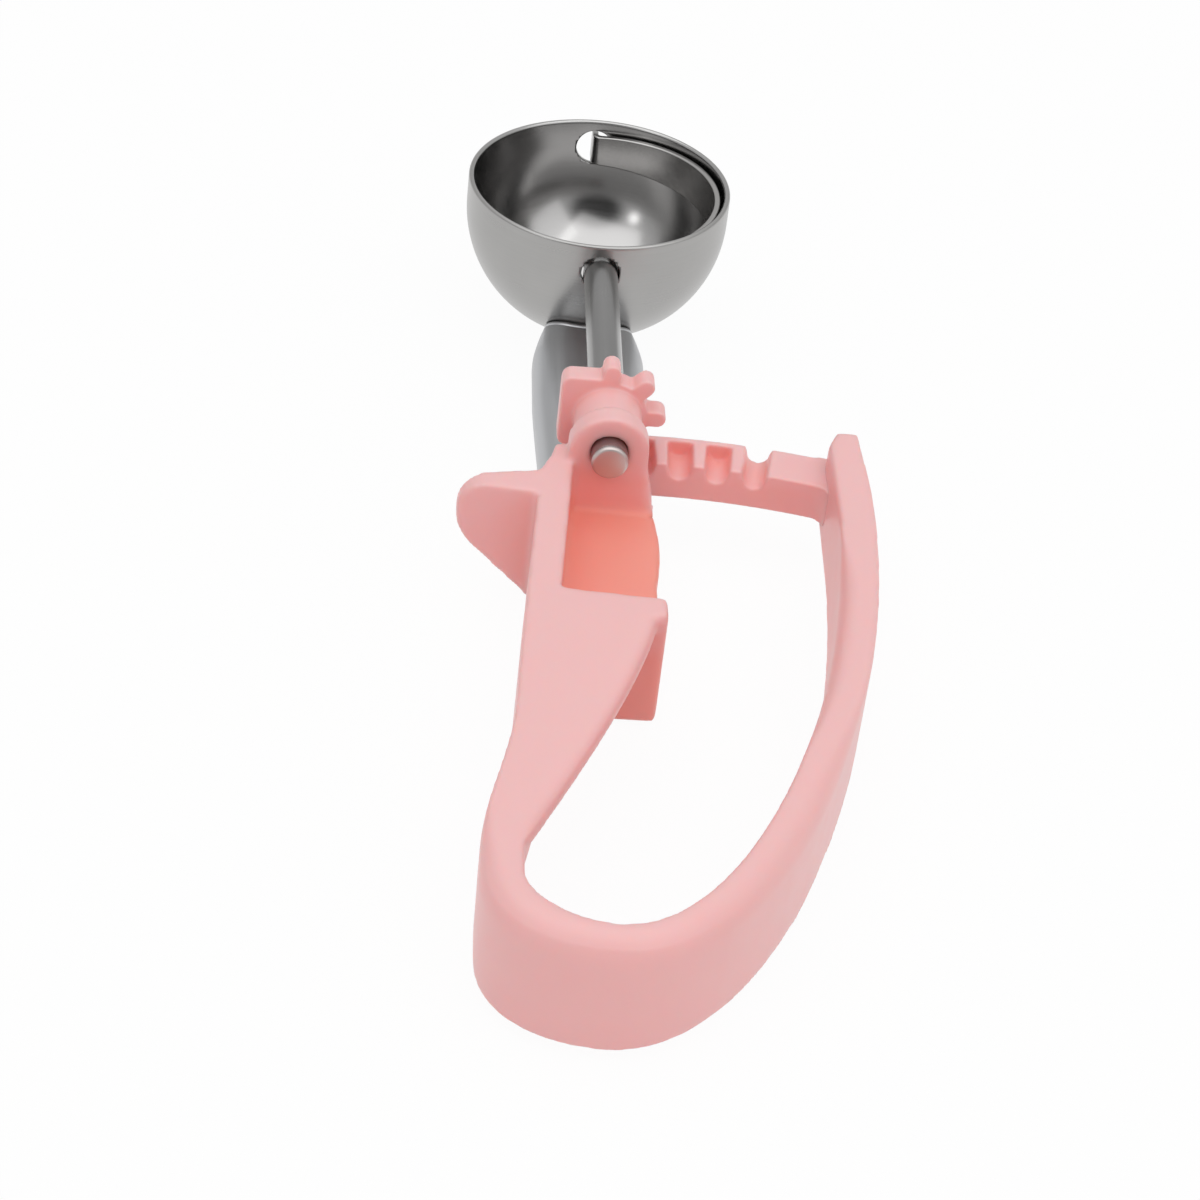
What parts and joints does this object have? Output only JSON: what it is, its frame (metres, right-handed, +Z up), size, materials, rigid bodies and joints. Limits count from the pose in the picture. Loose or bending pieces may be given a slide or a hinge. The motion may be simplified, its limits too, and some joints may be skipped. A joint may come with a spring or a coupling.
{
  "type": "ice cream scoop",
  "caption": "Squeeze-handle ice cream scoop: round metal bowl on a formed shank, sweep blade turned by a rack and pinion, and a springy one-piece plastic grip.",
  "frame": {"origin": "centre of the bowl's sphere, on the drive rod's axis and on the line through the bowl's two pivot holes", "axes": "+Y forward along the drive rod, away from the grip; +Z up, out of the bowl's mouth; +X towards the squeeze lever"},
  "size_m": [0.0536, 0.1743, 0.0267],
  "materials": {
    "bowl_steel": "satin outside, polished inside",
    "shank_steel": "bright polished",
    "rod_steel": "drawn, satin",
    "blade_steel": "satin",
    "plastic": "satin, soft moulded edges"
  },
  "bodies": {
    "handle": {"grip_frame": "plastic", "bowl": "bowl_steel", "shank": "shank_steel", "spring_bend": "plastic"},
    "lever": {"squeeze_lever": "plastic", "rack": "plastic"},
    "rotor": {"drive_rod": "rod_steel", "pinion": "plastic", "sweep_blade": "blade_steel"}
  },
  "joints": [
    {"name": "lever_squeeze", "type": "hinge", "parent": "handle", "child": "lever", "pos_m": [0.006, -0.144, -0.00985], "axis": [0, 0, 1], "range_deg": [0, 12.24], "stiffness_Nm_per_rad": 3, "springref_deg": -1.72, "deforming": ["spring_bend"]},
    {"name": "rotor_spin", "type": "hinge", "parent": "handle", "child": "rotor", "pos_m": [0, 0, 0], "axis": [0, 1, 0], "range_deg": [0, 170]}
  ],
  "couplings": [
    {"joint": "rotor_spin", "follows": "lever_squeeze", "ratio": 13.883}
  ]
}
